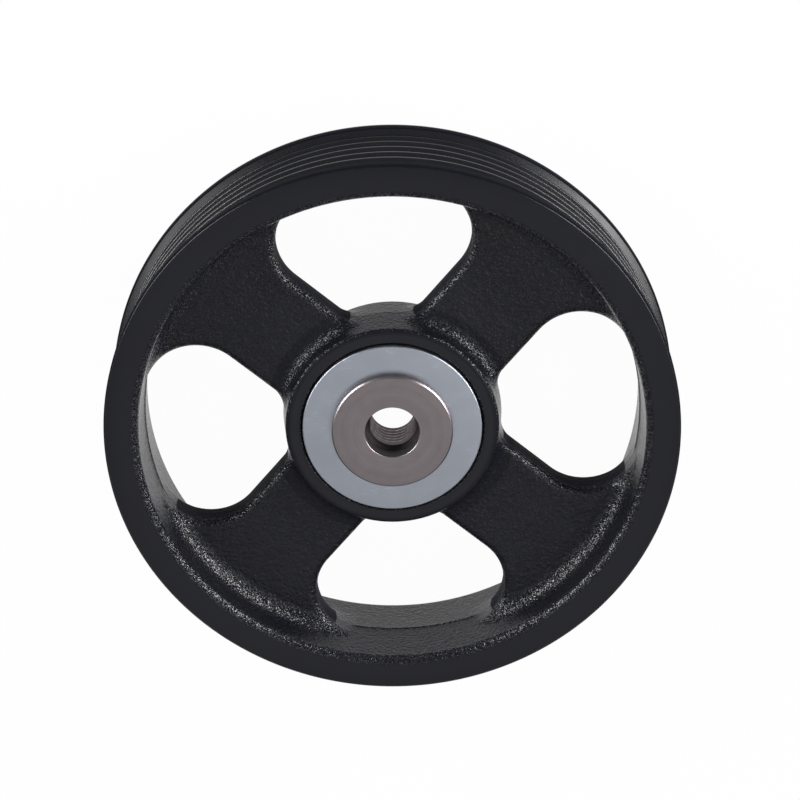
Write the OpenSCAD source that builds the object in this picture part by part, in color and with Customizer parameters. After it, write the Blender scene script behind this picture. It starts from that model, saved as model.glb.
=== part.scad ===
// Ribbed-belt tensioner pulley: a cast spoked wheel on a sealed ball bearing with a threaded centre bush.
// The pulley lies on the rear face of its rim. Its axis is Z and its front looks up.

/* [Belt rim] */
// Diameter over the belt ribs
crest_d = 130; // [110:0.5:170]
// Height of the two flanges above the ribs
flange_h = 1.75; // [0.5:0.05:4]
// Width of each flange
flange_w = 2.9; // [1.5:0.1:6]
// Chamfer on the outer edges of the flanges
flange_chamfer = 0.45; // [0.1:0.05:1]
// Number of belt grooves
groove_count = 6; // [3:1:10]
// Distance from groove to groove
groove_pitch = 3.56; // [3:0.01:5]
// Angle between the two walls of a groove
groove_angle = 40; // [36:1:44]
// Flat on top of a rib
crest_flat = 0.5; // [0.2:0.05:1]
// Radius at the bottom of a groove
root_r = 0.5; // [0.2:0.05:0.7]
// Ledge between a flange and the groove beside it
flange_ledge = 0.12; // [0.05:0.01:1]
// Wall between the grooves and the inside of the rim
rim_wall = 3.45; // [2:0.05:8]
// Radius on the inner edges of the rim
rim_edge_r = 2; // [0.5:0.1:3]
// Casting draft on the inside of the rim
rim_draft = 2; // [0.5:0.5:4]

/* [Web and windows] */
// Thickness of the web
web_t = 8; // [5:0.5:12]
// Fillet from the web up to the rim
rim_fillet = 4; // [1:0.5:6]
// Fillet from the web up to the hub
hub_fillet = 3; // [1:0.5:4]
// Number of windows, and of spokes between them
window_count = 4; // [3:1:5]
// Width of a spoke
spoke_w = 24.4; // [14:0.2:30]
// Radius of the window corners at the rim
window_corner_r = 12.3; // [6:0.1:14]
// Radius on the window edges
window_edge_r = 1.8; // [0.4:0.1:2.4]
// Casting draft inside the windows
window_draft = 3; // [0.5:0.5:6]

/* [Hub] */
// Wall around the bearing at the parting line
hub_wall = 4.7; // [3:0.1:8]
// Taper of the hub in front of the parting line
hub_front_draft = 5.5; // [1:0.5:18]
// Taper of the hub behind the parting line
hub_rear_draft = 3; // [1:0.5:18]
// Radius on the outer edges of the hub
hub_edge_r = 0.8; // [0.3:0.1:1.5]
// Height of the dust shield above the hub face
shield_proud = 0.6; // [0:0.1:0.9]
// Depth of the rear shoulder that the bearing sits on
shoulder_t = 3; // [1.5:0.1:5]
// Width of that shoulder
shoulder_w = 3; // [1:0.1:4]
// Extra radius of the hub bore in front of the bearing
mouth_relief = 0.25; // [0.1:0.05:0.6]
// Chamfer at the mouth of the hub bore
bore_chamfer = 0.4; // [0.1:0.05:0.8]

/* [Bearing] */
// Distance of the bearing's middle in front of the rim's middle
bearing_offset = 1.2; // [-2:0.1:3]
// Bore of the bearing
bearing_bore = 20; // [17:0.5:22]
// Outside diameter of the bearing
bearing_od = 42; // [40:0.5:47]
// Width of the bearing
bearing_w = 12; // [11:0.5:15]
// Diameter of a ball
ball_d = 6.35; // [5:0.05:7]
// Number of balls
ball_count = 9; // [6:1:9]
// Gap between a ball and its race
race_gap = 0.05; // [0.01:0.01:0.1]
// Height of a race shoulder above the bottom of its groove
race_shoulder = 1.25; // [0.8:0.05:1.6]
// Chamfer on the ring corners
ring_chamfer = 0.6; // [0.2:0.1:1]
// Thickness of a seal
seal_t = 0.9; // [0.5:0.1:1.2]
// Depth of the seal below the ring faces
seal_depth = 0.3; // [0.1:0.1:0.6]
// Gap between the seal lip and the inner ring
seal_gap = 0.3; // [0.1:0.05:0.5]
// Depth of the seal groove in the outer ring
seal_groove = 0.7; // [0.3:0.1:1]
// Thickness of the cage steel
cage_t = 0.6; // [0.4:0.05:0.8]
// Radial width of the cage
cage_w = 1.9; // [1.2:0.1:2.2]
// Gap between a ball and its cage pocket
pocket_gap = 0.15; // [0.05:0.05:0.3]
// Diameter of a cage rivet
rivet_d = 0.9; // [0.6:0.1:1.2]
// Diameter of a rivet head
rivet_head_d = 1.5; // [1.2:0.1:1.8]
// Height of a rivet head
rivet_head_h = 0.4; // [0.2:0.05:0.6]
// Gap around a rivet in the cage
rivet_gap = 0.02; // [0.01:0.01:0.1]

/* [Bush and shield] */
// Diameter of the bush flange
bush_flange_d = 28.2; // [24:0.1:34]
// Thickness of the bush flange
bush_flange_t = 2; // [1:0.1:4]
// Chamfer on the bush flange
bush_chamfer = 0.35; // [0.1:0.05:1]
// Diameter of the smooth counterbore
counterbore_d = 12.7; // [11.5:0.1:15]
// Chamfer at the mouth of the counterbore
counterbore_chamfer = 0.15; // [0.05:0.05:1]
// Depth from the bush face to the start of the thread
thread_depth = 5; // [2:0.1:8]
// Diameter of the tapped bore inside its thread
thread_minor_d = 10.45; // [6:0.05:11]
// Depth of the countersink behind the thread
thread_lead = 2; // [0.2:0.1:3]
// Thickness of the dust shield
shield_t = 1.4; // [0.8:0.1:3]
// Gap between the dust shield and the hub bore
shield_gap = 0.35; // [0.1:0.05:1]
// Height of the shield's seat on the inner ring
shield_seat_h = 0.6; // [0.3:0.1:2]
// Width of the shield's seat on the inner ring
shield_seat_w = 2.4; // [1:0.1:3]
// Chamfer on the dust shield's edge
shield_chamfer = 0.25; // [0.05:0.05:0.5]

/* [Hidden] */
$fn = 96;

// Belt rim
half_groove = groove_angle / 2;
crest_r = crest_d / 2;
flange_r = crest_r + flange_h;
groove_half_top = (groove_pitch - crest_flat) / 2;
root_centre_r = crest_r - (groove_half_top - root_r / cos(half_groove)) / tan(half_groove);
groove_start = flange_w + flange_ledge + crest_flat / 2;
rim_w = 2 * groove_start + groove_count * groove_pitch;
mid_z = rim_w / 2;
parting_r = root_centre_r - root_r - rim_wall;
function rim_wall_r(z) = parting_r + abs(z - mid_z) * tan(rim_draft);

// Bearing stack, from the rear shoulder up to the bush flange
bearing_or = bearing_od / 2;
bearing_ir = bearing_bore / 2;
bearing_z = mid_z + bearing_offset - bearing_w / 2;
bearing_mid_z = bearing_z + bearing_w / 2;
bearing_front_z = bearing_z + bearing_w;
shield_z = bearing_front_z + shield_seat_h;
shield_front_z = shield_z + shield_t;
bush_front_z = shield_front_z + bush_flange_t;
hub_rear_z = bearing_z - shoulder_t;
hub_front_z = shield_front_z - shield_proud;
hub_r = bearing_or + hub_wall;
mouth_r = bearing_or + mouth_relief;
function hub_wall_r(z, draft) = hub_r - abs(z - mid_z) * tan(draft);

// Bearing inside
ball_r = ball_d / 2;
race_r = ball_r + race_gap;
ball_circle_r = (bearing_ir + bearing_or) / 2;
inner_land_r = ball_circle_r - race_r + race_shoulder;
outer_land_r = ball_circle_r + race_r - race_shoulder;
seal_outer_r = outer_land_r + seal_groove;
pocket_r = ball_r + pocket_gap;

// Overlap that lets one piece of a casting run into the next
bite = 1.2;
// How far a cut runs past the face that it opens
past = 1;
// Step between the points of an arc
arc_step = 15;

// Points of an arc about a centre, from one angle to another
function arc(centre, r, from, to) =
    let (steps = ceil(abs(to - from) / arc_step))
    [for (i = [0 : steps])
        let (a = from + (to - from) * i / steps)
        centre + r * [cos(a), sin(a)]];

// One belt groove, from its lower rib to its upper rib
function groove_points(k) =
    let (z = groove_start + (k + 0.5) * groove_pitch)
    concat([[crest_r, z - groove_half_top]],
           arc([root_centre_r, z], root_r, 270 - half_groove, 90 + half_groove),
           [[crest_r, z + groove_half_top]]);

// A flange, its land and the wall down to the ribs, for the rear side
rear_flange = [[flange_r - flange_chamfer, 0],
               [flange_r, flange_chamfer],
               [flange_r, flange_w],
               [crest_r, flange_w]];

// The same points on the front side, in the order that closes the outline
function to_front(points) =
    [for (i = [len(points) - 1 : -1 : 0]) [points[i].x, rim_w - points[i].y]];

module rim_section() {
    edge_z = rim_w - rim_edge_r;
    edge_centre = [rim_wall_r(edge_z) + rim_edge_r, edge_z];
    front_edge = arc(edge_centre, rim_edge_r, 90, 180);
    polygon(concat(
        rear_flange,
        [for (k = [0 : groove_count - 1]) each groove_points(k)],
        to_front(rear_flange),
        front_edge,
        [[parting_r, mid_z]],
        to_front(front_edge)));
}

module hub_section() {
    front_z = hub_front_z - hub_edge_r;
    rear_z = hub_rear_z + hub_edge_r;
    front_r = hub_wall_r(front_z, hub_front_draft) - hub_edge_r / cos(hub_front_draft);
    rear_r = hub_wall_r(rear_z, hub_rear_draft) - hub_edge_r / cos(hub_rear_draft);
    polygon(concat(
        [[bearing_or - shoulder_w, hub_rear_z]],
        arc([rear_r, rear_z], hub_edge_r, 270, 360 - hub_rear_draft),
        [[hub_r, mid_z]],
        arc([front_r, front_z], hub_edge_r, hub_front_draft, 90),
        [[mouth_r + bore_chamfer, hub_front_z],
         [mouth_r, hub_front_z - bore_chamfer],
         [mouth_r, bearing_front_z],
         [bearing_or, bearing_front_z],
         [bearing_or, bearing_z],
         [bearing_or - shoulder_w, bearing_z]]));
}

// Half of the web, from the parting line to one face, with its fillets to the hub and the rim
module web_half_section(hub_draft) {
    face = web_t / 2;
    rim_z = face + rim_fillet;
    rim_r = rim_wall_r(mid_z + rim_z) - rim_fillet / cos(rim_draft);
    hub_z = face + hub_fillet;
    hub_side_r = hub_wall_r(mid_z + hub_z, hub_draft) + hub_fillet / cos(hub_draft);
    to_rim = arc([rim_r, rim_z], rim_fillet, 360 - rim_draft, 270);
    to_hub = arc([hub_side_r, hub_z], hub_fillet, 270, 180 + hub_draft);
    out_r = to_rim[0].x + bite;
    in_r = to_hub[len(to_hub) - 1].x - bite;
    polygon(concat(
        [[in_r, 0], [out_r, 0], [out_r, to_rim[0].y]],
        to_rim,
        to_hub,
        [[in_r, to_hub[len(to_hub) - 1].y]]));
}

module web_body() {
    translate([0, 0, mid_z]) {
        rotate_extrude() web_half_section(hub_front_draft);
        mirror([0, 0, 1]) rotate_extrude() web_half_section(hub_rear_draft);
    }
}

// Windows. A window is open between two spokes, with a round corner at each end of the rim.
spoke_angle = 180 / window_count;
corner_centre_r = parting_r - window_corner_r;
corner_angle = spoke_angle - asin((spoke_w / 2 + window_corner_r) / corner_centre_r);
corner = corner_centre_r * [cos(corner_angle), sin(corner_angle)];
window_top = mid_z + past;

// Side of a window from the parting line up: draft, rounded edge, then a ramp clear of the web
ramp_angle = 30;
window_side =
    let (straight = web_t / 2 - window_edge_r,
         centre = [straight * tan(window_draft) + window_edge_r, straight],
         edge = arc(centre, window_edge_r, 180, 90 + ramp_angle),
         last = edge[len(edge) - 1],
         ramp_x = last.x + (web_t / 2 + past - last.y) / tan(ramp_angle))
    concat([[0, 0]], edge, [[ramp_x, web_t / 2 + past], [ramp_x, window_top]]);

// Section of a window from the middle of its corner out to its side
module window_section() {
    upper = [for (p = window_side) [window_corner_r + p.x, p.y]];
    lower = [for (i = [len(upper) - 1 : -1 : 1]) [upper[i].x, -upper[i].y]];
    polygon(concat([[0, -window_top]], lower, upper, [[0, window_top]]));
}

// Half of a window: the round corner, and the straight side along the spoke
module half_window() {
    along = [cos(spoke_angle), sin(spoke_angle)];
    run = corner * along - hub_r / 2;
    translate(corner) rotate([0, 0, 90 + spoke_angle]) rotate_extrude() window_section();
    translate(corner - run * along) rotate([0, 0, 90 + spoke_angle]) rotate([90, 0, 0])
        linear_extrude(run) window_section();
}

// Middle of a window, which overlaps both corners and both sides
module window_middle() {
    to_rim = [cos(corner_angle), sin(corner_angle)];
    to_side = [-sin(spoke_angle), cos(spoke_angle)];
    far = to_rim * (parting_r + rim_edge_r) / cos(corner_angle);
    inner = corner + (window_corner_r - bite) * to_rim;
    outer = corner + bite * to_side;
    near = [(spoke_w / 2 + window_corner_r - bite) / sin(spoke_angle), 0];
    upper = [far, inner, outer];
    lower = [for (i = [len(upper) - 1 : -1 : 0]) [upper[i].x, -upper[i].y]];
    translate([0, 0, -window_top]) linear_extrude(2 * window_top) polygon(concat([near], lower, upper));
}

// A window through the web
module window_cut() {
    translate([0, 0, mid_z]) {
        window_middle();
        half_window();
        mirror([0, 1, 0]) half_window();
    }
}

module pulley_wheel() {
    color("#26262a") {
        rotate_extrude() rim_section();
        rotate_extrude() hub_section();
        difference() {
            web_body();
            for (i = [0 : window_count - 1])
                rotate([0, 0, i * 360 / window_count]) window_cut();
        }
    }
}

// Ball race ring about the ball circle, as a torus to cut away
module race_groove() {
    translate([0, 0, bearing_mid_z]) rotate_extrude() translate([ball_circle_r, 0]) circle(race_r);
}

module bearing_outer_ring() {
    seal_in = seal_depth + seal_t;
    color("#8f9296") difference() {
        rotate_extrude() polygon([
            [bearing_or - ring_chamfer, bearing_z], [bearing_or, bearing_z + ring_chamfer],
            [bearing_or, bearing_front_z - ring_chamfer], [bearing_or - ring_chamfer, bearing_front_z],
            [seal_outer_r, bearing_front_z], [seal_outer_r, bearing_front_z - seal_in],
            [outer_land_r, bearing_front_z - seal_in], [outer_land_r, bearing_z + seal_in],
            [seal_outer_r, bearing_z + seal_in], [seal_outer_r, bearing_z]]);
        race_groove();
    }
}

module bearing_inner_ring() {
    color("#9a9da1") difference() {
        rotate_extrude() polygon([
            [bearing_ir + ring_chamfer, bearing_z], [inner_land_r, bearing_z],
            [inner_land_r, bearing_front_z], [bearing_ir + ring_chamfer, bearing_front_z],
            [bearing_ir, bearing_front_z - ring_chamfer], [bearing_ir, bearing_z + ring_chamfer]]);
        race_groove();
    }
}

// Places on the ball circle, in the bearing's middle plane
module on_ball_circle(offset_angle) {
    for (i = [0 : ball_count - 1])
        rotate([0, 0, i * 360 / ball_count + offset_angle])
            translate([ball_circle_r, 0, bearing_mid_z]) children();
}

module bearing_balls() {
    color("#c8cacc") on_ball_circle(0) sphere(ball_r);
}

// Pressed half of the cage, above the bearing's middle plane
module upper_cage_half() {
    band_in = ball_circle_r - cage_w / 2;
    band_out = ball_circle_r + cage_w / 2;
    shell_r = pocket_r + cage_t;
    difference() {
        intersection() {
            union() {
                translate([0, 0, bearing_mid_z]) cylinder(h = cage_t, r = band_out + past);
                on_ball_circle(0) sphere(shell_r);
            }
            translate([0, 0, bearing_mid_z]) difference() {
                cylinder(h = shell_r + past, r = band_out);
                translate([0, 0, -past]) cylinder(h = shell_r + 3 * past, r = band_in);
            }
        }
        on_ball_circle(0) sphere(pocket_r);
        on_ball_circle(180 / ball_count)
            translate([0, 0, -past]) cylinder(h = cage_t + 2 * past, d = rivet_d + 2 * rivet_gap, $fn = 24);
    }
}

module front_cage_half() {
    color("#a7a49c") upper_cage_half();
}

module rear_cage_half() {
    color("#a7a49c") translate([0, 0, 2 * bearing_mid_z]) mirror([0, 0, 1]) upper_cage_half();
}

module cage_rivets() {
    reach = cage_t + rivet_head_h;
    color("#b5b3ad") on_ball_circle(180 / ball_count) {
        translate([0, 0, -reach]) cylinder(h = 2 * reach, d = rivet_d, $fn = 24);
        for (side = [0, 1])
            mirror([0, 0, side])
                translate([0, 0, cage_t]) cylinder(h = rivet_head_h, d = rivet_head_d, $fn = 24);
    }
}

// A rubber-faced seal ring with its rear face at the given height
module bearing_seal(z) {
    color("#1d1d1f") translate([0, 0, z]) rotate_extrude()
        translate([inner_land_r + seal_gap, 0]) square([seal_outer_r - inner_land_r - seal_gap, seal_t]);
}

module front_bearing_seal() {
    bearing_seal(bearing_front_z - seal_depth - seal_t);
}

module rear_bearing_seal() {
    bearing_seal(bearing_z + seal_depth);
}

module front_dust_shield() {
    edge_r = mouth_r - shield_gap;
    color("#9aa0aa") rotate_extrude() polygon([
        [bearing_ir, bearing_front_z], [bearing_ir + shield_seat_w, bearing_front_z],
        [bearing_ir + shield_seat_w, shield_z], [edge_r - shield_chamfer, shield_z],
        [edge_r, shield_z + shield_chamfer], [edge_r, shield_front_z - shield_chamfer],
        [edge_r - shield_chamfer, shield_front_z], [bearing_ir, shield_front_z]]);
}

module centre_bush() {
    flange_r = bush_flange_d / 2;
    smooth_r = counterbore_d / 2;
    thread_r = thread_minor_d / 2;
    thread_z = bush_front_z - thread_depth;
    color("#776f70") rotate_extrude() polygon([
        [thread_r + thread_lead, bearing_z], [bearing_ir, bearing_z],
        [bearing_ir, shield_front_z], [flange_r, shield_front_z],
        [flange_r, bush_front_z - bush_chamfer], [flange_r - bush_chamfer, bush_front_z],
        [smooth_r + counterbore_chamfer, bush_front_z], [smooth_r, bush_front_z - counterbore_chamfer],
        [smooth_r, thread_z + smooth_r - thread_r], [thread_r, thread_z],
        [thread_r, bearing_z + thread_lead]]);
}

pulley_wheel();
bearing_outer_ring();
bearing_inner_ring();
bearing_balls();
front_cage_half();
rear_cage_half();
cage_rivets();
front_bearing_seal();
rear_bearing_seal();
front_dust_shield();
centre_bush();
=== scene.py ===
import itertools
import math
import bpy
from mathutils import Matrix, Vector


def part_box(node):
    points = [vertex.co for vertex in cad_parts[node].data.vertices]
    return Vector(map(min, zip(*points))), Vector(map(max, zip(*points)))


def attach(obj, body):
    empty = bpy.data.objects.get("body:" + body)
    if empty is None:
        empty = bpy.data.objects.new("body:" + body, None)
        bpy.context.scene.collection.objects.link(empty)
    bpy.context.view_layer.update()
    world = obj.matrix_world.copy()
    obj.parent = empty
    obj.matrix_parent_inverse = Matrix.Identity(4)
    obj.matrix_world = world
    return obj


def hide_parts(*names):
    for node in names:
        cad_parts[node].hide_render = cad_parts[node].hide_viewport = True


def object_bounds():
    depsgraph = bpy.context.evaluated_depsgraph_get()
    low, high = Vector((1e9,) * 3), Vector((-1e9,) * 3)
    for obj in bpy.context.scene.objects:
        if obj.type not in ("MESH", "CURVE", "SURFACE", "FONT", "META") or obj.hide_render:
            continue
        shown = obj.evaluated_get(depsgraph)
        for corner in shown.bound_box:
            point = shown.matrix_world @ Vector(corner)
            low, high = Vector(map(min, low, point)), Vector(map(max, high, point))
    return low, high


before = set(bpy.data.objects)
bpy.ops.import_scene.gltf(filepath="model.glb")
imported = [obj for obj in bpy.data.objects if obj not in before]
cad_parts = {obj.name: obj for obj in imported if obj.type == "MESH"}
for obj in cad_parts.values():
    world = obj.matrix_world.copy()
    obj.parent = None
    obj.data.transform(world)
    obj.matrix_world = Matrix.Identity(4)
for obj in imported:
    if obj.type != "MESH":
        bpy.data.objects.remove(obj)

from types import SimpleNamespace

import bmesh
import bpy
import numpy as np
from bpy.props import FloatProperty, FloatVectorProperty, IntProperty, PointerProperty
from bpy.types import Operator, Panel, PropertyGroup
from mathutils import Matrix, Vector

bl_info = {
    "name": "Tensioner pulley",
    "version": (1, 0, 0),
    "blender": (4, 5, 0),
    "location": "View3D > Sidebar > Pulley",
    "description": "Dresses a ribbed-belt tensioner pulley and sets its stage",
    "category": "Object",
}

MM = 0.001

# Box in metres and heights in millimetres, from the frame
CAD_BOX = [list(corner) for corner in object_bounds()]
RIM_W = CAD_BOX[1][2] / MM
MID_Z = RIM_W / 2
BUSH_FRONT_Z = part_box("centre_bush")[1][2] / MM
BEARING_REAR_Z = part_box("bearing_inner_ring")[0][2] / MM
BEARING_FRONT_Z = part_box("bearing_inner_ring")[1][2] / MM
SHIELD_FRONT_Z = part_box("front_dust_shield")[1][2] / MM

# How far the casting stays under the machined rim faces, how far the spokes reach into the rim,
# and how far they stay under its rounded edges, in millimetres
DECK_DROP = 0.02
SPOKE_OVERLAP = 1.0
SPOKE_CLEARANCE = 0.5

# Mesh rows to a turn of the thread, and how much of its profile is cut off flat at crest and root
THREAD_ROWS = 20
THREAD_FLAT = 0.125

# Radii on the edges of the shield's seat, in millimetres
SEAT_EDGE_R = 0.1
SEAT_FILLET = 0.2

# Specular levels of the black coat: plain, in the belt grooves, and added by dark and bright specks
COAT_SHINE = 0.27
GROOVE_SHINE = 0.68
DARK_SPECK, BRIGHT_SPECK = -0.24, 0.66

# Share of the coat's shine that is left on its duller places, and how rough the dullest are
WINDOW_SHARE = 0.1
HUB_FOOT_SHARE = 0.6
FRONT_WALL_SHARE = 0.65
LAND_SHARE = 0.05
DULL_ROUGH = 0.6

# Painted light on the bush's thread, as a gain on its colour, and painted shade in its counterbore, as a
# gain that darkens it, and how rough the counterbore is
THREAD_PAINTED_LIGHT_GAIN = 2.0
COUNTERBORE_PAINTED_SHADE_GAIN = 0.28
COUNTERBORE_ROUGH = 0.7

# Places of the lamps on the right and sizes of the lamps, in metres; the left ones mirror them
SOFTBOX_PLACE, SOFTBOX_SIZE = (0.60, 0.26, 0.25), (0.56, 0.12)
WASH_PLACE, WASH_SIZE = (0.56, -0.04, 1.0), (0.4, 0.3)
FILL_PLACE, FILL_SIZE = (0.0, -0.46, 0.97), (0.66, 0.66)

# Half width and drop of the floor in millimetres; the drop keeps it off the rim's rear face
FLOOR_HALF = 3000.0
FLOOR_DROP = 0.1

# Where the white horizon starts and ends to fade, as the sine of the elevation
HORIZON_LOW, HORIZON_HIGH = 0.1, 0.4

# Width of the camera's sensor in millimetres
SENSOR_W = 36.0


def length(name, text, mm):
    """A length property, given in millimetres and kept in metres."""
    return FloatProperty(name=name, description=text, default=mm * MM, min=0.0, precision=5, unit="LENGTH")


def angle(name, text, degrees):
    """An angle property, given in degrees."""
    return FloatProperty(name=name, description=text, default=math.radians(degrees), subtype="ANGLE")


def tint(name, text, rgb):
    """A colour property."""
    return FloatVectorProperty(name=name, description=text, default=rgb, size=3, min=0.0, max=1.0,
                               subtype="COLOR")


def amount(name, text, value):
    """A plain number that is never below zero."""
    return FloatProperty(name=name, description=text, default=value, min=0.0)


class BeltRimSettings(PropertyGroup):
    """Sizes of the machined belt rim."""
    crest_d: length("Rib diameter", "Diameter over the belt ribs", 130)
    flange_h: length("Flange height", "Height of the flanges above the ribs", 1.75)
    flange_w: length("Flange width", "Width of each flange", 2.9)
    flange_chamfer: length("Flange chamfer", "Chamfer on the outer flange edges", 0.45)
    flange_ledge: length("Flange ledge", "Ledge between a flange and its groove", 0.12)
    flange_lean: length("Flange lean", "How far the inner side of a flange leans back", 0.45)
    groove_count: IntProperty(name="Grooves", description="Number of belt grooves", default=6, min=1)
    groove_pitch: length("Groove pitch", "Distance from groove to groove", 3.56)
    groove_angle: angle("Groove angle", "Angle between the walls of a groove", 40)
    crest_flat: length("Rib flat", "Flat on top of a rib", 0.5)
    crest_edge_r: length("Rib edge radius", "Wear radius on the rib edges", 0.24)
    root_r: length("Groove root radius", "Radius at the bottom of a groove", 0.5)
    edge_r: length("Edge radius", "Wear radius on the flange edges", 0.14)
    machined_r: length("Machined face radius", "Radius where the machined rim sides start", 60.55)
    seat_depth: length("Seat depth", "How far the ring reaches into the casting", 0.5)
    segments: IntProperty(name="Segments", description="Steps around the rim", default=320, min=48)


class CastingSettings(PropertyGroup):
    """Sizes of the spoked casting."""
    wall_r: length("Rim inner radius", "Inner radius of the rim at the parting line", 58.31)
    wall_draft: angle("Rim draft", "Casting draft on the inside of the rim", 2)
    rim_out_r: length("Casting outer radius", "Radius where the casting ends under the belt rim", 61.5)
    rim_edge_r: length("Rim edge radius", "Radius on the inner rim edges", 2)
    rim_fillet: length("Rim fillet", "Fillet from the web to the rim", 4)
    web_t: length("Web thickness", "Thickness of the web", 8)
    spoke_w: length("Spoke width", "Width of a spoke", 24.4)
    corner_r: length("Window corner radius", "Radius of the window corners at the rim", 12.3)
    window_edge_r: length("Window edge radius", "Radius on the window edges", 1.8)
    window_draft: angle("Window draft", "Casting draft inside the windows", 3)
    hub_r: length("Hub radius", "Radius of the hub at the parting line", 25.7)
    hub_front_taper: angle("Hub front taper", "Taper of the hub in front of the parting line", 5.5)
    hub_rear_taper: angle("Hub rear taper", "Taper of the hub behind the parting line", 3)
    hub_edge_r: length("Hub edge radius", "Radius on the hub edges", 0.8)
    hub_fillet: length("Hub fillet", "Fillet from the web to the hub", 3)
    hub_front_z: length("Hub front", "Height of the hub's front face", 22.55)
    hub_rear_z: length("Hub rear", "Height of the hub's rear face", 6.15)
    bore_r: length("Bore radius", "Radius of the bearing bore", 21)
    mouth_r: length("Mouth radius", "Radius of the bore in front of the bearing", 21.25)
    bore_chamfer: length("Bore chamfer", "Chamfer at the mouth of the bore", 0.4)
    shoulder_r: length("Shoulder radius", "Inner radius of the rear shoulder", 18)
    flash_h: length("Flash height", "Height of the parting flash inside the rim", 0.22)
    flash_w: length("Flash width", "Half width of the parting flash", 0.3)
    columns: IntProperty(name="Columns", description="Grid columns around the casting", default=400, min=48)


class BushSettings(PropertyGroup):
    """Sizes of the turned centre bush."""
    flange_d: length("Flange diameter", "Diameter of the bush flange", 28.2)
    flange_chamfer: length("Flange chamfer", "Chamfer on the bush flange", 0.35)
    body_d: length("Body diameter", "Diameter of the bush inside the bearing", 20)
    counterbore_d: length("Counterbore diameter", "Diameter of the smooth counterbore", 12.7)
    counterbore_chamfer: length("Counterbore chamfer", "Chamfer at the mouth of the counterbore", 0.15)
    thread_depth: length("Thread depth", "Depth from the bush face to the thread", 5)
    thread_lead: length("Thread lead", "Depth of the countersink behind the thread", 2)
    thread_major_d: length("Thread diameter", "Major diameter of the thread", 12)
    thread_minor_d: length("Thread minor diameter", "Diameter inside the thread", 10.45)
    thread_pitch: length("Thread pitch", "Distance from turn to turn", 1.5)
    edge_r: length("Edge radius", "Wear radius on the turned edges", 0.05)
    segments: IntProperty(name="Segments", description="Steps around the bush", default=128, min=24)


class ShieldSettings(PropertyGroup):
    """Sizes of the pressed dust shield."""
    edge_r: length("Shield radius", "Outer radius of the shield", 20.9)
    bore_r: length("Shield bore radius", "Inner radius of the shield", 10)
    seat_w: length("Seat width", "Width of the seat on the inner ring", 2.4)
    seat_h: length("Seat height", "Height of the seat on the inner ring", 0.6)
    lip_r: length("Lip radius", "Rounding of the shield's edge", 0.3)
    segments: IntProperty(name="Segments", description="Steps around the shield", default=192, min=24)


class FinishSettings(PropertyGroup):
    """Colours of the finishes."""
    casting: tint("Casting", "Black coat on the casting", (0.0086, 0.0089, 0.0130))
    machined: tint("Machined rim", "Thin black coat on the machined rim", (0.0072, 0.0075, 0.0110))
    zinc: tint("Zinc", "Zinc plate of the dust shield", (0.436, 0.465, 0.524))
    turned: tint("Turned steel", "Turned steel of the bush", (0.262, 0.233, 0.242))
    ring: tint("Ring steel", "Ground steel of the bearing rings", (0.52, 0.53, 0.55))
    ball: tint("Ball steel", "Polished steel of the balls", (0.70, 0.71, 0.72))
    cage: tint("Cage steel", "Pressed steel of the cage", (0.45, 0.43, 0.40))
    rubber: tint("Rubber", "Rubber of the bearing seals", (0.015, 0.015, 0.016))


class StageSettings(PropertyGroup):
    """Camera, lamps and floor."""
    tilt: angle("Camera tilt", "Angle between the view and the pulley's axis", 24.79)
    turn: angle("Camera turn", "Turn of the view about the pulley's axis", -5.46)
    side: length("Camera side", "Camera offset to the right", 1.78)
    forward: length("Camera forward", "Camera offset towards the near rim", 275.7)
    height: length("Camera height", "Camera height above the floor", 604.0)
    lens: FloatProperty(name="Lens", description="Focal length on a 36 mm sensor", default=124.36, min=1.0,
                        unit="CAMERA")
    world: amount("World", "Strength of the even light overhead", 0.24)
    left_softbox: amount("Left softbox", "Radiance of the low softbox on the left", 18.0)
    right_softbox: amount("Right softbox", "Radiance of the low softbox on the right", 23.0)
    left_wash: amount("Left wash", "Radiance of the high softbox on the left", 2.6)
    right_wash: amount("Right wash", "Radiance of the high softbox on the right", 6.5)
    fill: amount("Fill light", "Radiance of the large soft light above", 0.53)
    floor_white: FloatProperty(name="Floor white", description="Share of plain white in the floor's look",
                               default=0.97, min=0.0, max=1.0, subtype="FACTOR")


class PulleySettings(PropertyGroup):
    """All settings of the pulley."""
    rim: PointerProperty(type=BeltRimSettings)
    casting: PointerProperty(type=CastingSettings)
    bush: PointerProperty(type=BushSettings)
    shield: PointerProperty(type=ShieldSettings)
    finish: PointerProperty(type=FinishSettings)
    stage: PointerProperty(type=StageSettings)


def in_mm(group):
    """The values of a settings group, with its lengths in millimetres."""
    values = {}
    for prop in group.bl_rna.properties:
        if prop.identifier in ("rna_type", "name"):
            continue
        value = getattr(group, prop.identifier)
        values[prop.identifier] = value / MM if getattr(prop, "unit", "NONE") == "LENGTH" else value
    return SimpleNamespace(**values)


# Meshes

def link_mesh(name, points, faces):
    """A smooth-shaded mesh object from points in millimetres."""
    mesh = bpy.data.meshes.new(name)
    mesh.from_pydata((np.asarray(points) * MM).tolist(), [], np.asarray(faces).tolist())
    mesh.validate()
    mesh.shade_smooth()
    obj = bpy.data.objects.new(name, mesh)
    bpy.context.scene.collection.objects.link(obj)
    return obj


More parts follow.
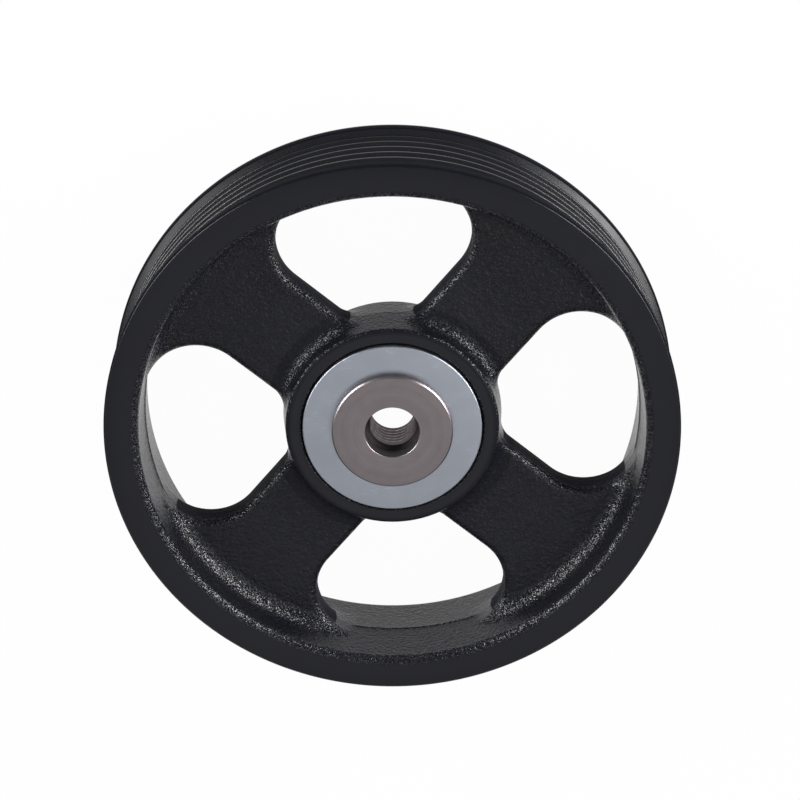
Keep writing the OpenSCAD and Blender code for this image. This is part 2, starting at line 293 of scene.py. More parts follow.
def rounded(corners, arc_step=math.radians(18)):
    """A closed outline of (r, z) points from corners of (r, z, radius), each turned into an arc."""
    points = []
    count = len(corners)
    for i, (r, z, radius) in enumerate(corners):
        here = Vector((r, z))
        if radius <= 0:
            points.append(here)
            continue
        back = (Vector(corners[i - 1][:2]) - here).normalized()
        ahead = (Vector(corners[(i + 1) % count][:2]) - here).normalized()
        half = back.angle(ahead) / 2
        centre = here + (back + ahead).normalized() * (radius / math.sin(half))
        start = here + back * (radius / math.tan(half)) - centre
        end = here + ahead * (radius / math.tan(half)) - centre
        sweep = start.angle_signed(end)
        steps = max(2, math.ceil(abs(sweep) / arc_step))
        for k in range(steps + 1):
            a = -sweep * k / steps
            points.append(centre + Vector((start.x * math.cos(a) - start.y * math.sin(a),
                                           start.x * math.sin(a) + start.y * math.cos(a))))
    return np.array([tuple(p) for p in points])


def revolve(name, rings, segments, sharp=math.radians(28)):
    """A closed ring turned from an outline.

    rings is (n, 2), or (n, segments, 2) where the outline varies round the axis.
    """
    if rings.ndim == 2:
        rings = np.repeat(rings[:, None, :], segments, axis=1)
    turn = np.arange(segments) * (2 * math.pi / segments)
    radius, height = rings[..., 0], rings[..., 1]
    points = np.stack([radius * np.cos(turn), radius * np.sin(turn), height], axis=-1)
    rows = len(rings)
    i, j = np.meshgrid(np.arange(rows), np.arange(segments), indexing="ij")
    up, on = (i + 1) % rows, (j + 1) % segments
    faces = np.stack([i * segments + j, i * segments + on, up * segments + on, up * segments + j],
                     axis=-1)
    obj = link_mesh(name, points.reshape(-1, 3), faces.reshape(-1, 4))
    shape = bmesh.new()
    shape.from_mesh(obj.data)
    bmesh.ops.recalc_face_normals(shape, faces=shape.faces)
    shape.to_mesh(obj.data)
    shape.free()
    obj.data.set_sharp_from_angle(angle=sharp)
    return obj


def grid_lines(start, *stretches):
    """Grid lines from a start through stretches of (end, step)."""
    parts = []
    for end, step in stretches:
        count = max(1, round((end - start) / step))
        parts.append(np.linspace(start, end, count, endpoint=False))
        start = end
    return np.append(np.concatenate(parts), start)


def shifted(grid, step):
    """The grid moved on along each axis where step is one; its middle axis runs round."""
    return np.roll(grid, -step[1], axis=1)[step[0]:, :, step[2]:]


def surface_net(field, r, columns, z):
    """Points and quads of the surface where field(x, y, z) is zero, on a grid of rings round the axis."""
    turn = np.arange(columns) * (2 * math.pi / columns)
    rr, tt, zz = np.meshgrid(r, turn, z, indexing="ij")
    f = field(rr * np.cos(tt), rr * np.sin(tt), zz)
    inside = f < 0
    cells = (len(r) - 1, columns, len(z) - 1)

    # Each cell that the surface crosses gets a point, the mean of the crossings on its edges
    total = np.zeros(cells + (3,))
    count = np.zeros(cells)
    lows = np.meshgrid(r[:-1], np.arange(columns, dtype=float), z[:-1], indexing="ij")
    spans = np.meshgrid(np.diff(r), np.ones(columns), np.diff(z), indexing="ij")
    for axis, first, second in itertools.product(range(3), (0, 1), (0, 1)):
        low = [first, second]
        low.insert(axis, 0)
        high = list(low)
        high[axis] = 1
        f0, f1 = (shifted(f, end)[:cells[0], :, :cells[2]] for end in (low, high))
        cross = (f0 < 0) != (f1 < 0)
        share = np.where(cross, f0 / np.where(cross, f0 - f1, 1), 0)
        for part in range(3):
            at = share if part == axis else low[part]
            total[..., part] += np.where(cross, lows[part] + at * spans[part], 0)
        count += cross
    used = count > 0
    index = np.full(cells, -1)
    index[used] = np.arange(used.sum())
    mean = total[used] / count[used][:, None]
    around = mean[:, 1] * (2 * math.pi / columns)
    points = np.stack([mean[:, 0] * np.cos(around), mean[:, 0] * np.sin(around), mean[:, 2]], axis=-1)

    # Each grid edge that the surface crosses gets a quad between the points of the four cells round it
    quads = []
    for axis in range(3):
        step = [0, 0, 0]
        step[axis] = 1
        here = inside[:len(r) - step[0], :, :len(z) - step[2]]
        i, j, k = np.nonzero(here != shifted(inside, step))
        keep = np.ones(len(i), bool)
        for part, at in ((0, i), (2, k)):
            if part != axis:
                keep &= (at > 0) & (at < cells[part])
        i, j, k = i[keep], j[keep], k[keep]
        ring = []
        for back in ((1, 1), (0, 1), (0, 0), (1, 0)):
            cell = [i, j, k]
            for part, off in zip(((axis + 1) % 3, (axis + 2) % 3), back):
                cell[part] = cell[part] - off
            ring.append(index[cell[0], cell[1] % columns, cell[2]])
        quad = np.stack(ring, axis=-1)
        quads.append(np.where(here[i, j, k][:, None], quad, quad[:, ::-1]))
    return points, np.concatenate(quads)


def slopes(field, points, reach=0.004):
    """Gradient of a field at some points."""
    parts = []
    for axis in range(3):
        off = np.zeros(3)
        off[axis] = reach
        parts.append((field(*(points + off).T) - field(*(points - off).T)) / (2 * reach))
    return np.stack(parts, axis=-1)


def settle(field, points, rounds=3, most=0.4, flattest=0.05, tiny=1e-9):
    """Moves points onto the surface where the field is zero, and returns them with their normals.

    A move is no longer than most, and a squared slope below flattest counts as flattest.
    """
    for _ in range(rounds):
        slope = slopes(field, points)
        size = np.maximum((slope ** 2).sum(axis=1), flattest)
        move = slope * (field(*points.T) / size)[:, None]
        far = np.linalg.norm(move, axis=1)
        points = points - move * np.minimum(1, most / np.maximum(far, tiny))[:, None]
    slope = slopes(field, points)
    return points, slope / np.maximum(np.linalg.norm(slope, axis=1), tiny)[:, None]


def join_round(a, b, k):
    """Two fields joined, with a fillet of radius k between them."""
    return np.maximum(k, np.minimum(a, b)) - np.hypot(np.maximum(k - a, 0), np.maximum(k - b, 0))


def meet_round(a, b, k):
    """Where two fields overlap, with the edge between them rounded to radius k."""
    return np.minimum(-k, np.maximum(a, b)) + np.hypot(np.maximum(k + a, 0), np.maximum(k + b, 0))


def casting_field(s):
    """Distance field of the spoked casting, with z from the parting plane."""
    wall_tan, wall_cos = math.tan(s.wall_draft), math.cos(s.wall_draft)

    # The spokes lie at 45 degrees; an arc at each window corner touches the spoke's side and the rim
    spoke = math.pi / 4
    along, across = (math.cos(spoke), math.sin(spoke)), (-math.sin(spoke), math.cos(spoke))
    centre_r = s.wall_r - s.corner_r
    corner_at = spoke - math.asin((s.spoke_w / 2 + s.corner_r) / centre_r)
    corner = (centre_r * math.cos(corner_at), centre_r * math.sin(corner_at))
    corner_along = corner[0] * along[0] + corner[1] * along[1]

    hub_top, hub_low = s.hub_front_z - MID_Z, MID_Z - s.hub_rear_z
    shoulder, mouth_low = BEARING_REAR_Z - MID_Z, BEARING_FRONT_Z - MID_Z
    deck = MID_Z - DECK_DROP
    spoke_top = deck - s.rim_edge_r - SPOKE_CLEARANCE
    root_2 = math.sqrt(2)

    def window(x, y, rho):
        """Below zero inside a window; all the windows are folded into the half window beside +X."""
        fold = np.abs((np.arctan2(y, x) + spoke) % (2 * spoke) - spoke)
        px, py = rho * np.cos(fold), rho * np.sin(fold)
        side = px * across[0] + py * across[1] + s.spoke_w / 2
        bend = np.hypot(px - corner[0], py - corner[1]) - s.corner_r
        straight = px * along[0] + py * along[1] <= corner_along
        return np.where(straight, side, np.where(fold >= corner_at, bend, rho - s.wall_r))

    def field(x, y, z):
        """Below zero inside the casting."""
        rho, high = np.hypot(x, y), np.abs(z)
        flash = s.flash_h * np.exp(-(z / s.flash_w) ** 2)
        wall = (s.wall_r + high * wall_tan - rho) * wall_cos - flash
        rim = np.maximum(meet_round(wall, high - deck, s.rim_edge_r), rho - s.rim_out_r)
        web = join_round(high - s.web_t / 2, wall, s.rim_fillet)
        opening = window(x, y, rho) - high * math.tan(s.window_draft)
        spokes = meet_round(web, -opening, s.window_edge_r)
        spokes = np.maximum(spokes, rho - s.wall_r - SPOKE_OVERLAP)
        spokes = np.maximum(spokes, high - spoke_top)
        taper = np.where(z > 0, s.hub_front_taper, s.hub_rear_taper)
        side = (rho - s.hub_r + high * np.tan(taper)) * np.cos(taper)
        hub = meet_round(side, np.maximum(z - hub_top, -z - hub_low), s.hub_edge_r)
        solid = np.minimum(rim, join_round(spokes, hub, s.hub_fillet))
        bore = np.minimum(np.maximum(rho - s.bore_r, shoulder - z), rho - s.shoulder_r)
        mouth = np.maximum(rho - s.mouth_r, mouth_low - z)
        chamfer = (rho - s.mouth_r - z + hub_top - s.bore_chamfer) / root_2
        return np.maximum(solid, -np.minimum(np.minimum(bore, mouth), chamfer))

    return field


# Materials

class Graph:
    """Builds the node tree of one material."""

    def __init__(self, name):
        self.material = bpy.data.materials.new(name)
        self.material.use_nodes = True
        self.tree = self.material.node_tree
        self.tree.nodes.clear()
        self.coords = self.add("ShaderNodeTexCoord").outputs["Object"]

    def add(self, kind, inputs=None, **attributes):
        """A node whose inputs are linked to sockets or set to values."""
        node = self.tree.nodes.new(kind)
        for key, value in attributes.items():
            setattr(node, key, value)
        for key, value in (inputs or {}).items():
            socket = node.inputs[key]
            if isinstance(value, bpy.types.NodeSocket):
                self.tree.links.new(value, socket)
            else:
                socket.default_value = value
        return node

    def noise(self, scale, detail=3.0, rough=0.55, vector=None):
        """Cloudy noise, scale being its cells to a metre."""
        place = self.coords if vector is None else vector
        return self.add("ShaderNodeTexNoise", {"Vector": place, "Scale": scale, "Detail": detail,
                                               "Roughness": rough}).outputs[0]

    def line_noise(self, along, scale, detail=4.0):
        """Noise that changes only with one value, for turning marks."""
        inputs = {"W": along, "Scale": scale, "Detail": detail, "Roughness": 0.7}
        return self.add("ShaderNodeTexNoise", inputs, noise_dimensions="1D").outputs[0]

    def remap(self, value, low, high, to_low, to_high):
        """A value taken from one range to another, and held at its ends."""
        return self.add("ShaderNodeMapRange", {"Value": value, "From Min": low, "From Max": high,
                                               "To Min": to_low, "To Max": to_high}).outputs[0]

    def maths(self, operation, a, b=0.0):
        """One calculation on one or two values."""
        return self.add("ShaderNodeMath", {0: a, 1: b}, operation=operation).outputs[0]

    def product(self, first, *others):
        """All the values multiplied."""
        for other in others:
            first = self.maths("MULTIPLY", first, other)
        return first

    def between(self, value, low, high, fade):
        """One where a value lies between two others, and zero elsewhere."""
        return self.product(self.remap(value, low, low + fade, 0.0, 1.0),
                            self.remap(value, high - fade, high, 1.0, 0.0))

    def pick(self, mask, off, on):
        """A number that goes from off to on as a mask goes from 0 to 1."""
        return self.remap(mask, 0.0, 1.0, off, on)

    def radius(self):
        """Distance from the pulley's axis."""
        flat = self.add("ShaderNodeVectorMath", {0: self.coords, 1: (1, 1, 0)}, operation="MULTIPLY")
        return self.add("ShaderNodeVectorMath", {0: flat.outputs[0]}, operation="LENGTH").outputs["Value"]

    def ring(self, low, high, fade=0.2):
        """One between two distances from the axis, in millimetres, and zero elsewhere."""
        return self.between(self.radius(), (low - fade) * MM, (high + fade) * MM, fade * MM)

    def height(self):
        """Height above the floor."""
        return self.add("ShaderNodeSeparateXYZ", {0: self.coords}).outputs["Z"]

    def lean(self):
        """Height of the surface normal: one on a level face, zero on an upright wall."""
        normal = self.add("ShaderNodeTexCoord").outputs["Normal"]
        return self.maths("ABSOLUTE", self.add("ShaderNodeSeparateXYZ", {0: normal}).outputs["Z"])

    def shade(self, colour, value, low, high):
        """A colour that runs from low times itself to high times itself as value goes from 0 to 1."""
        ends = [tuple(min(1.0, c * k) for c in colour) + (1.0,) for k in (low, high)]
        mix = self.add("ShaderNodeMix", {"Factor": value}, data_type="RGBA")
        mix.inputs[6].default_value, mix.inputs[7].default_value = ends
        return mix.outputs[2]

    def blend(self, value, colour, other):
        """A colour that gives way to a plain one as value goes from 0 to 1."""
        mix = self.add("ShaderNodeMix", {"Factor": value, 6: colour}, data_type="RGBA")
        mix.inputs[7].default_value = tuple(min(1.0, c) for c in other) + (1.0,)
        return mix.outputs[2]

    def bump(self, value, strength, depth_mm, normal=None):
        """A normal that follows a height, over another normal where one is given."""
        inputs = {"Height": value, "Strength": strength, "Distance": depth_mm * MM}
        if normal is not None:
            inputs["Normal"] = normal
        return self.add("ShaderNodeBump", inputs).outputs[0]

    def surface(self, **inputs):
        """The finished material, with each input of its shader named in small letters."""
        named = {key.replace("_", " ").title().replace("Ior", "IOR"): value
                 for key, value in inputs.items()}
        shader = self.add("ShaderNodeBsdfPrincipled", named)
        self.add("ShaderNodeOutputMaterial", {"Surface": shader.outputs[0]})
        return self.material


def cast_material(name, colour, s):
    """Satin black coat over cast grain, smooth on the machined hub face.

    It is dull on the window walls, and less bright at the foot of the hub and on the front half of
    the rim's inner wall. The grain glints on curved surfaces more than on level or upright ones.
    """
    g = Graph(name)

    # Places with a finish of their own
    height = g.height()
    hub_face = g.product(g.remap(height, (s.hub_front_z - 0.12) * MM, (s.hub_front_z - 0.02) * MM, 0.0, 1.0),
                         g.ring(0.0, s.hub_r))
    cast = g.maths("SUBTRACT", 1.0, hub_face)
    off_parting = g.maths("ABSOLUTE", g.maths("SUBTRACT", height, MID_Z * MM))
    web_half = s.web_t / 2
    window = g.product(g.remap(off_parting, (web_half - s.window_edge_r) * MM, web_half * MM, 1.0, 0.0),
                       g.ring(s.hub_r + 1.0, s.wall_r - 1.5))
    hub_foot = g.ring(s.hub_r - 2.0, s.hub_r + s.hub_fillet + 1.0)
    front_wall = g.product(g.ring(s.wall_r - 0.1, s.rim_out_r),
                           g.between(height, MID_Z * MM, (RIM_W - s.rim_edge_r) * MM, 0.4 * MM))

    # Grain of the casting under the coat
    broad = g.noise(90, detail=4.0)
    wrinkles = g.noise(1150, detail=2.0, rough=0.5)
    grit = g.noise(2900, detail=1.5, rough=0.5)
    depth = g.product(cast, 0.9)
    normal = g.bump(grit, depth, 0.13, g.bump(wrinkles, depth, 0.3))
    rough = g.maths("MAXIMUM", g.remap(broad, 0.3, 0.7, 0.2, 0.26), g.product(window, DULL_ROUGH))

    # Shine of the coat, with the glints of the grain
    specks = g.remap(g.noise(2800, detail=1.0), 0.44, 0.62, DARK_SPECK, BRIGHT_SPECK)
    curved = g.pick(g.between(g.lean(), 0.1, 0.985, 0.08), 0.14, 1.0)
    shine = g.product(g.maths("ADD", COAT_SHINE, g.product(specks, cast, curved)),
                      g.pick(window, 1.0, WINDOW_SHARE), g.pick(hub_foot, 1.0, HUB_FOOT_SHARE),
                      g.pick(front_wall, 1.0, FRONT_WALL_SHARE))
    return g.surface(base_color=g.shade(colour, broad, 0.75, 1.3), roughness=rough, normal=normal,
                     specular_ior_level=shine)


def machined_material(name, colour, land_r):
    """Thin black coat over turned iron, bright in the grooves and dull on the flange lands."""
    g = Graph(name)
    height = g.height()
    land = g.product(g.ring(land_r - 0.3, 2 * land_r, fade=0.1),
                     g.remap(height, 0.75 * MM, 0.95 * MM, 0.0, 1.0))
    grooves = g.between(height, 2.0 * MM, (RIM_W - 2.0) * MM, 0.4 * MM)
    lines = g.line_noise(g.maths("ADD", g.radius(), g.product(height, 0.8)), 9000.0)
    broad = g.noise(140, detail=4.0)
    normal = g.bump(g.noise(2600, detail=2.0), 0.18, 0.02, g.bump(lines, 0.2, 0.02))
    rough = g.maths("MAXIMUM", g.remap(broad, 0.3, 0.7, 0.19, 0.27), g.product(land, DULL_ROUGH))
    shine = g.product(g.pick(grooves, COAT_SHINE, GROOVE_SHINE), g.pick(land, 1.0, LAND_SHARE))
    return g.surface(base_color=g.shade(colour, broad, 0.8, 1.25), roughness=rough, normal=normal,
                     specular_ior_level=shine)


def plate_material(name, colour):
    """Zinc plate with faint scratches and a few bright nicks."""
    g = Graph(name)
    broad = g.noise(160, detail=5.0)
    stretch = g.add("ShaderNodeMapping", {"Vector": g.coords, "Rotation": (0.0, 0.0, 0.6),
                                          "Scale": (1.0, 14.0, 1.0)}).outputs[0]
    scratch = g.noise(420, rough=0.5, vector=stretch)
    nicks = g.product(g.remap(scratch, 0.62, 0.67, 0.0, 1.0), g.remap(broad, 0.52, 0.6, 0.0, 1.0))
    normal = g.bump(g.noise(5200, detail=2.0), 0.12, 0.015, g.bump(scratch, 0.15, 0.02))
    plate = g.blend(nicks, g.shade(colour, broad, 0.9, 1.08), tuple(1.35 * c for c in colour))
    return g.surface(base_color=plate, metallic=1.0, roughness=g.remap(scratch, 0.35, 0.65, 0.34, 0.46),
                     normal=normal)


def turned_material(name, colour, gloss=0.34, bore=None):
    """Turned steel with fine concentric marks.

    bore is the radius of a threaded bore, painted brighter as painted light, and the height above which its
    counterbore is painted dark as painted shade.
    """
    g = Graph(name)
    radius, height = g.radius(), g.height()
    track = g.maths("ADD", radius, g.product(height, 0.9))
    lines = g.line_noise(track, 5200.0, detail=5.0)
    bands = g.maths("ADD", g.line_noise(track, 330.0), g.product(g.noise(240, detail=4.0), 0.6))
    rough = g.remap(lines, 0.3, 0.7, gloss - 0.05, gloss + 0.1)
    steel = g.shade(colour, g.remap(bands, 0.5, 1.1, 0.0, 1.0), 0.86, 1.12)
    if bore:
        bore_r, painted_shade_z = bore
        inside = g.remap(radius, (bore_r + 0.02) * MM, (bore_r + 0.08) * MM, 1.0, 0.0)
        dark = g.product(inside, g.remap(height, painted_shade_z * MM, (painted_shade_z + 0.2) * MM, 0.0, 1.0))
        # Painted light: the whole bore, thread and cone, is painted brighter than the rest of the steel
        steel = g.blend(inside, steel, tuple(THREAD_PAINTED_LIGHT_GAIN * c for c in colour))
        # Painted shade: the counterbore above the thread is painted dark, and made rougher
        steel = g.blend(dark, steel, tuple(COUNTERBORE_PAINTED_SHADE_GAIN * c for c in colour))
        rough = g.maths("MAXIMUM", rough, g.product(dark, COUNTERBORE_ROUGH))
    return g.surface(base_color=steel, metallic=1.0, roughness=rough, normal=g.bump(lines, 0.3, 0.03))


def polished_material(name, colour):
    """Polished steel with a faint haze."""
    g = Graph(name)
    haze = g.noise(700, detail=4.0)
    return g.surface(base_color=g.shade(colour, haze, 0.95, 1.04), metallic=1.0,
                     roughness=g.remap(haze, 0.3, 0.7, 0.06, 0.14))


def rubber_material(name, colour):
    """Matt moulded rubber."""
    g = Graph(name)
    dust = g.noise(500, detail=5.0)
    return g.surface(base_color=g.shade(colour, dust, 0.8, 1.8),
                     roughness=g.remap(dust, 0.3, 0.7, 0.55, 0.75),
                     normal=g.bump(g.noise(3000, detail=2.0), 0.3, 0.04))


def dress(obj, material, body, slot, *nodes):
    """Gives a new piece its material and body, and hides the nodes that it stands for; slot is not used."""
    obj.data.materials.append(material)
    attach(obj, body)
    if nodes:
        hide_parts(*nodes)


# Operators

class PULLEY_OT_casting(Operator):
    """Builds the spoked casting with its fillets, drafts and parting flash"""
    bl_idname = "pulley.casting"
    bl_label = "Casting"

    def execute(self, context):
        settings = context.scene.pulley
        s = in_mm(settings.casting)
        field = casting_field(s)
        points, quads = surface_net(field, self.radii(s), s.columns, self.heights(s))
        points, normals = settle(field, points)
        obj = link_mesh("spoked_casting", points + (0, 0, MID_Z), quads)
        obj.data.normals_split_custom_set_from_vertices(normals.tolist())
        coat = cast_material("satin_black_casting", settings.finish.casting, s)
        dress(obj, coat, "wheel", "black_casting", "pulley_wheel")
        return {"FINISHED"}

    def radii(self, s):
        """Grid radii, finer at the bore, the hub's fillets and the rim."""
        return grid_lines(s.shoulder_r - 1.1, (s.bore_r - 0.7, 0.55), (s.hub_r - 1.4, 0.3),
                          (s.hub_r + s.hub_fillet + 1.4, 0.55), (s.wall_r - s.rim_fillet - 0.61, 0.79),
                          (s.rim_out_r + 0.6, 0.5))

    def heights(self, s):
        """Grid heights from the parting plane, finer at the flash, window edges, hub faces and rim edges."""
        flash_end = 2 * s.flash_w + 0.01
        web_half = s.web_t / 2

        def half(hub_face, before, after, step):
            return grid_lines(flash_end, (web_half - s.window_edge_r - 0.39, 0.4), (web_half + 1.21, 0.36),
                              (hub_face - before, 0.6), (hub_face + after, step),
                              (MID_Z - s.rim_edge_r - 0.32, 0.58), (MID_Z + 0.62, 0.36))

        front = half(s.hub_front_z - MID_Z, 1.57, 0.23, 0.2)
        rear = half(MID_Z - s.hub_rear_z, 0.77, 0.53, 0.25)
        return np.concatenate([-rear[::-1], grid_lines(-flash_end, (flash_end, 0.15))[1:-1], front])


class PULLEY_OT_belt_rim(Operator):
    """Turns the belt rim with its flanges and grooves"""
    bl_idname = "pulley.belt_rim"
    bl_label = "Belt rim"

    def execute(self, context):
        settings = context.scene.pulley
        s = in_mm(settings.rim)
        crest_r = s.crest_d / 2
        flange_r = crest_r + s.flange_h
        half_top = (s.groove_pitch - s.crest_flat) / 2
        apex_r = crest_r - half_top / math.tan(s.groove_angle / 2)
        start = s.flange_w + s.flange_ledge + s.crest_flat / 2
        rear = [(s.machined_r, 0, 0), (flange_r - s.flange_chamfer, 0, s.edge_r),
                (flange_r, s.flange_chamfer, s.edge_r), (flange_r, s.flange_w - s.flange_lean, s.edge_r),
                (crest_r, s.flange_w, 0)]
        corners = list(rear)
        for k in range(s.groove_count):
            z = start + (k + 0.5) * s.groove_pitch
            corners += [(crest_r, z - half_top, s.crest_edge_r), (apex_r, z, s.root_r),
                        (crest_r, z + half_top, s.crest_edge_r)]
        corners += [(r, RIM_W - z, edge) for r, z, edge in reversed(rear)]
        corners += [(s.machined_r + s.seat_depth, RIM_W - s.seat_depth, 0),
                    (s.machined_r + s.seat_depth, s.seat_depth, 0)]
        if s.machined_r + s.seat_depth > apex_r + s.root_r / math.sin(s.groove_angle / 2) - s.root_r:
            raise ValueError("the belt rim's inside runs into its grooves")
        obj = revolve("belt_rim", rounded(corners), s.segments)
        coat = machined_material("machined_black_rim", settings.finish.machined, flange_r)
        dress(obj, coat, "wheel", "black_casting")
        return {"FINISHED"}


class PULLEY_OT_bush(Operator):
    """Turns the centre bush with its flange, counterbore and thread"""
    bl_idname = "pulley.bush"
    bl_label = "Centre bush"

    def execute(self, context):
        settings = context.scene.pulley
        s = in_mm(settings.bush)
        smooth_r, minor_r = s.counterbore_d / 2, s.thread_minor_d / 2
        major_r, body_r, flange_r = s.thread_major_d / 2, s.body_d / 2, s.flange_d / 2
        thread_z = BUSH_FRONT_Z - s.thread_depth
        cone_z = thread_z + smooth_r - minor_r
        edge = s.edge_r
        outline = rounded([
            (minor_r + s.thread_lead, BEARING_REAR_Z, 0), (body_r, BEARING_REAR_Z, edge),
            (body_r, SHIELD_FRONT_Z, 0),
            (flange_r, SHIELD_FRONT_Z, edge), (flange_r, BUSH_FRONT_Z - s.flange_chamfer, edge),
            (flange_r - s.flange_chamfer, BUSH_FRONT_Z, edge),
            (smooth_r + s.counterbore_chamfer, BUSH_FRONT_Z, edge),
            (smooth_r, BUSH_FRONT_Z - s.counterbore_chamfer, edge), (smooth_r, cone_z, 0),
        ])

        # The thread runs from the cone behind the counterbore to the countersink at the rear
        rows = math.ceil((cone_z - BEARING_REAR_Z) / s.thread_pitch * THREAD_ROWS)
        z = np.linspace(cone_z, BEARING_REAR_Z, rows + 2)[1:-1, None]
        turn = np.arange(s.segments)[None, :] / s.segments
        wave = np.abs(((z / s.thread_pitch - turn) % 1) * 2 - 1)
        flank = np.clip((1 + 2 * THREAD_FLAT) * wave - THREAD_FLAT, 0, 1)
        cones = np.maximum(smooth_r - (cone_z - z), minor_r + s.thread_lead - (z - BEARING_REAR_Z))
        radius = np.maximum(major_r - (major_r - minor_r) * flank, cones)
        thread = np.stack([radius, np.broadcast_to(z, radius.shape)], axis=-1)
        rings = np.concatenate([np.repeat(outline[:, None, :], s.segments, axis=1), thread])
        obj = revolve("turned_bush", rings, s.segments)
        steel = turned_material("turned_bush_steel", settings.finish.turned, bore=(smooth_r, thread_z))
        dress(obj, steel, "core", "turned_steel", "centre_bush")
        return {"FINISHED"}


class PULLEY_OT_shield(Operator):
    """Turns the dust shield with its rolled edge"""
    bl_idname = "pulley.shield"
    bl_label = "Dust shield"

    def execute(self, context):
        settings = context.scene.pulley
        s = in_mm(settings.shield)
        under_z = BEARING_FRONT_Z + s.seat_h
        seat_r = s.bore_r + s.seat_w
        obj = revolve("plated_shield", rounded([
            (s.bore_r, BEARING_FRONT_Z, 0), (seat_r, BEARING_FRONT_Z, SEAT_EDGE_R),
            (seat_r, under_z, SEAT_FILLET), (s.edge_r, under_z, s.lip_r),
            (s.edge_r, SHIELD_FRONT_Z, s.lip_r), (s.bore_r, SHIELD_FRONT_Z, 0),
        ]), s.segments)
        dress(obj, plate_material("zinc_plate_shield", settings.finish.zinc), "core", "zinc_plate",
              "front_dust_shield")
        return {"FINISHED"}


class PULLEY_OT_bearing(Operator):
    """Gives the rings, balls, cage and seals of the bearing their finishes"""
    bl_idname = "pulley.bearing"
    bl_label = "Bearing"

    def execute(self, context):
        finish = context.scene.pulley.finish
        ring = turned_material("ground_ring_steel", finish.ring, gloss=0.24)
        ball = polished_material("polished_ball_steel", finish.ball)
        cage = turned_material("pressed_cage_steel", finish.cage, gloss=0.4)
        rubber = rubber_material("seal_rubber", finish.rubber)
        coats = {"bearing_outer_ring": ring, "bearing_inner_ring": ring, "bearing_balls": ball,
                 "front_cage_half": cage, "rear_cage_half": cage, "cage_rivets": cage,
                 "front_bearing_seal": rubber, "rear_bearing_seal": rubber}
        for node, material in coats.items():
            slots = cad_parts[node].data.materials
            slots.clear()
            slots.append(material)
        return {"FINISHED"}


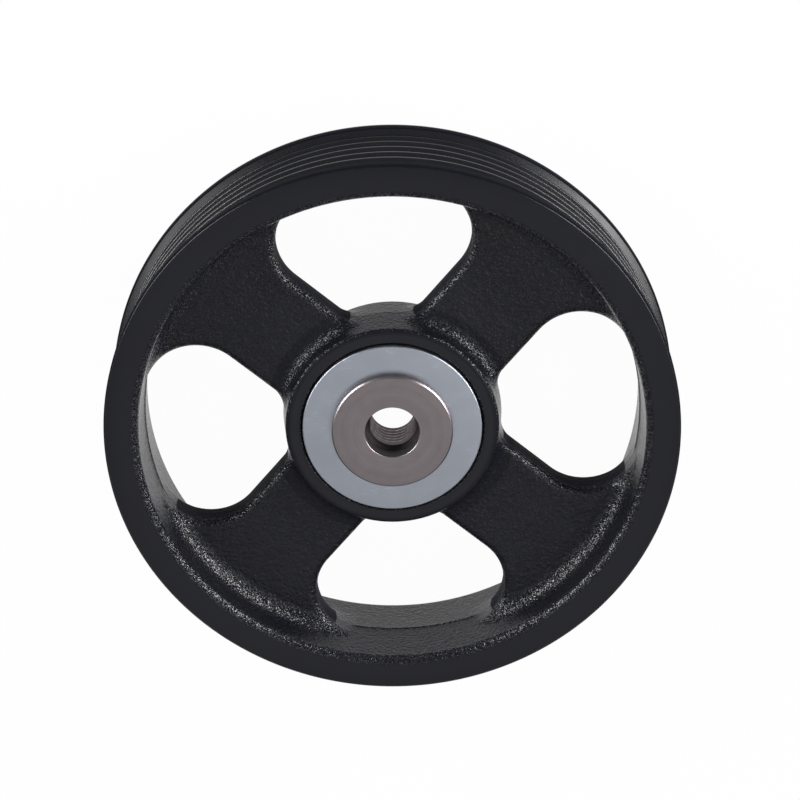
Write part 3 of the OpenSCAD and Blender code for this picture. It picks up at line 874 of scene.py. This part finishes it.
class PULLEY_OT_stage(Operator):
    """Sets the camera, the lamps, the white floor and the light all round"""
    bl_idname = "pulley.stage"
    bl_label = "Stage"

    def execute(self, context):
        scene = context.scene
        values = in_mm(scene.pulley.stage)
        view = Matrix.Rotation(values.turn, 4, "Z")
        self.add_camera(scene, view, values)
        aim = Vector((0.0, 0.0, MID_Z * MM))
        for kind, place, size in (("softbox", SOFTBOX_PLACE, SOFTBOX_SIZE), ("wash", WASH_PLACE, WASH_SIZE)):
            for side, sign in (("left", -1), ("right", 1)):
                name = side + "_" + kind
                spot = view @ Vector((sign * place[0], place[1], place[2]))
                self.add_lamp(scene, name, spot, aim, size, getattr(values, name))
        self.add_lamp(scene, "fill_softbox", view @ Vector(FILL_PLACE), aim, FILL_SIZE, values.fill)
        self.add_floor(values.floor_white)
        self.set_world(scene, values.world)
        scene.view_settings.view_transform = "Standard"
        return {"FINISHED"}

    def add_camera(self, scene, view, values):
        """A camera above the near rim, looking down along the pulley's axis at a tilt."""
        data = bpy.data.cameras.new("photo_camera")
        data.sensor_width = SENSOR_W
        data.lens = values.lens
        data.clip_start, data.clip_end = 0.01, 20.0
        camera = bpy.data.objects.new("photo_camera", data)
        sin, cos = math.sin(values.tilt), math.cos(values.tilt)
        pose = Matrix(((1, 0, 0, values.side * MM), (0, cos, sin, values.forward * MM),
                       (0, -sin, cos, values.height * MM), (0, 0, 0, 1)))
        camera.matrix_world = view @ pose
        scene.collection.objects.link(camera)
        scene.camera = camera

    def add_lamp(self, scene, name, place, aim, size, radiance):
        """A rectangular area lamp that faces the aim."""
        data = bpy.data.lights.new(name, "AREA")
        data.shape = "RECTANGLE"
        data.size, data.size_y = size
        data.energy = radiance * math.pi * size[0] * size[1]
        lamp = bpy.data.objects.new(name, data)
        lamp.location = place
        lamp.rotation_euler = (aim - place).to_track_quat("-Z", "Y").to_euler()
        scene.collection.objects.link(lamp)

    def add_floor(self, white):
        """A floor that looks white to the camera and in reflections, and keeps the pulley's shadow."""
        corners = [(x * FLOOR_HALF, y * FLOOR_HALF, -FLOOR_DROP)
                   for x, y in ((-1, -1), (1, -1), (1, 1), (-1, 1))]
        floor = link_mesh("white_floor", corners, [(0, 1, 2, 3)])
        g = Graph("white_floor")
        path = g.add("ShaderNodeLightPath").outputs
        seen = g.maths("MAXIMUM", path["Is Camera Ray"], path["Is Glossy Ray"])
        seen = g.maths("MAXIMUM", seen, path["Is Transmission Ray"])
        paper = g.shade((0.86, 0.86, 0.86), g.noise(40), 0.98, 1.02)
        matt = g.add("ShaderNodeBsdfDiffuse", {"Color": paper}).outputs[0]
        glow = g.add("ShaderNodeEmission", {"Strength": 1.0}).outputs[0]
        both = g.add("ShaderNodeMixShader", {0: g.product(seen, white), 1: matt, 2: glow}).outputs[0]
        g.add("ShaderNodeOutputMaterial", {"Surface": both})
        floor.data.materials.append(g.material)

    def set_world(self, scene, strength):
        """Even light that is white at the horizon and weaker overhead."""
        world = bpy.data.worlds.new("even_light")
        world.use_nodes = True
        tree = world.node_tree
        tree.nodes.clear()
        around = tree.nodes.new("ShaderNodeTexCoord")
        split = tree.nodes.new("ShaderNodeSeparateXYZ")
        fade = tree.nodes.new("ShaderNodeMapRange")
        light = tree.nodes.new("ShaderNodeBackground")
        out = tree.nodes.new("ShaderNodeOutputWorld")
        for key, value in (("From Min", HORIZON_LOW), ("From Max", HORIZON_HIGH), ("To Min", 1.0),
                           ("To Max", strength)):
            fade.inputs[key].default_value = value
        tree.links.new(around.outputs["Generated"], split.inputs[0])
        tree.links.new(split.outputs["Z"], fade.inputs["Value"])
        tree.links.new(fade.outputs[0], light.inputs["Strength"])
        tree.links.new(light.outputs[0], out.inputs["Surface"])
        scene.world = world


OPERATORS = (PULLEY_OT_casting, PULLEY_OT_belt_rim, PULLEY_OT_bush, PULLEY_OT_shield, PULLEY_OT_bearing,
             PULLEY_OT_stage)


class PULLEY_PT_panel(Panel):
    """Lists the steps that build the pulley"""
    bl_idname = "PULLEY_PT_panel"
    bl_label = "Tensioner pulley"
    bl_space_type = "VIEW_3D"
    bl_region_type = "UI"
    bl_category = "Pulley"

    def draw(self, context):
        for step in OPERATORS:
            self.layout.operator(step.bl_idname)


CLASSES = (BeltRimSettings, CastingSettings, BushSettings, ShieldSettings, FinishSettings, StageSettings,
           PulleySettings) + OPERATORS + (PULLEY_PT_panel,)


def register():
    """Registers the classes and hangs the settings on the scene."""
    for item in CLASSES:
        bpy.utils.register_class(item)
    bpy.types.Scene.pulley = PointerProperty(type=PulleySettings)


def unregister():
    """Takes the settings and the classes away again."""
    del bpy.types.Scene.pulley
    for item in reversed(CLASSES):
        bpy.utils.unregister_class(item)


def main():
    """Builds the pulley and its stage."""
    register()
    bpy.ops.pulley.casting()
    bpy.ops.pulley.belt_rim()
    bpy.ops.pulley.bush()
    bpy.ops.pulley.shield()
    bpy.ops.pulley.bearing()
    bpy.ops.pulley.stage()


if __name__ == "__main__":
    main()
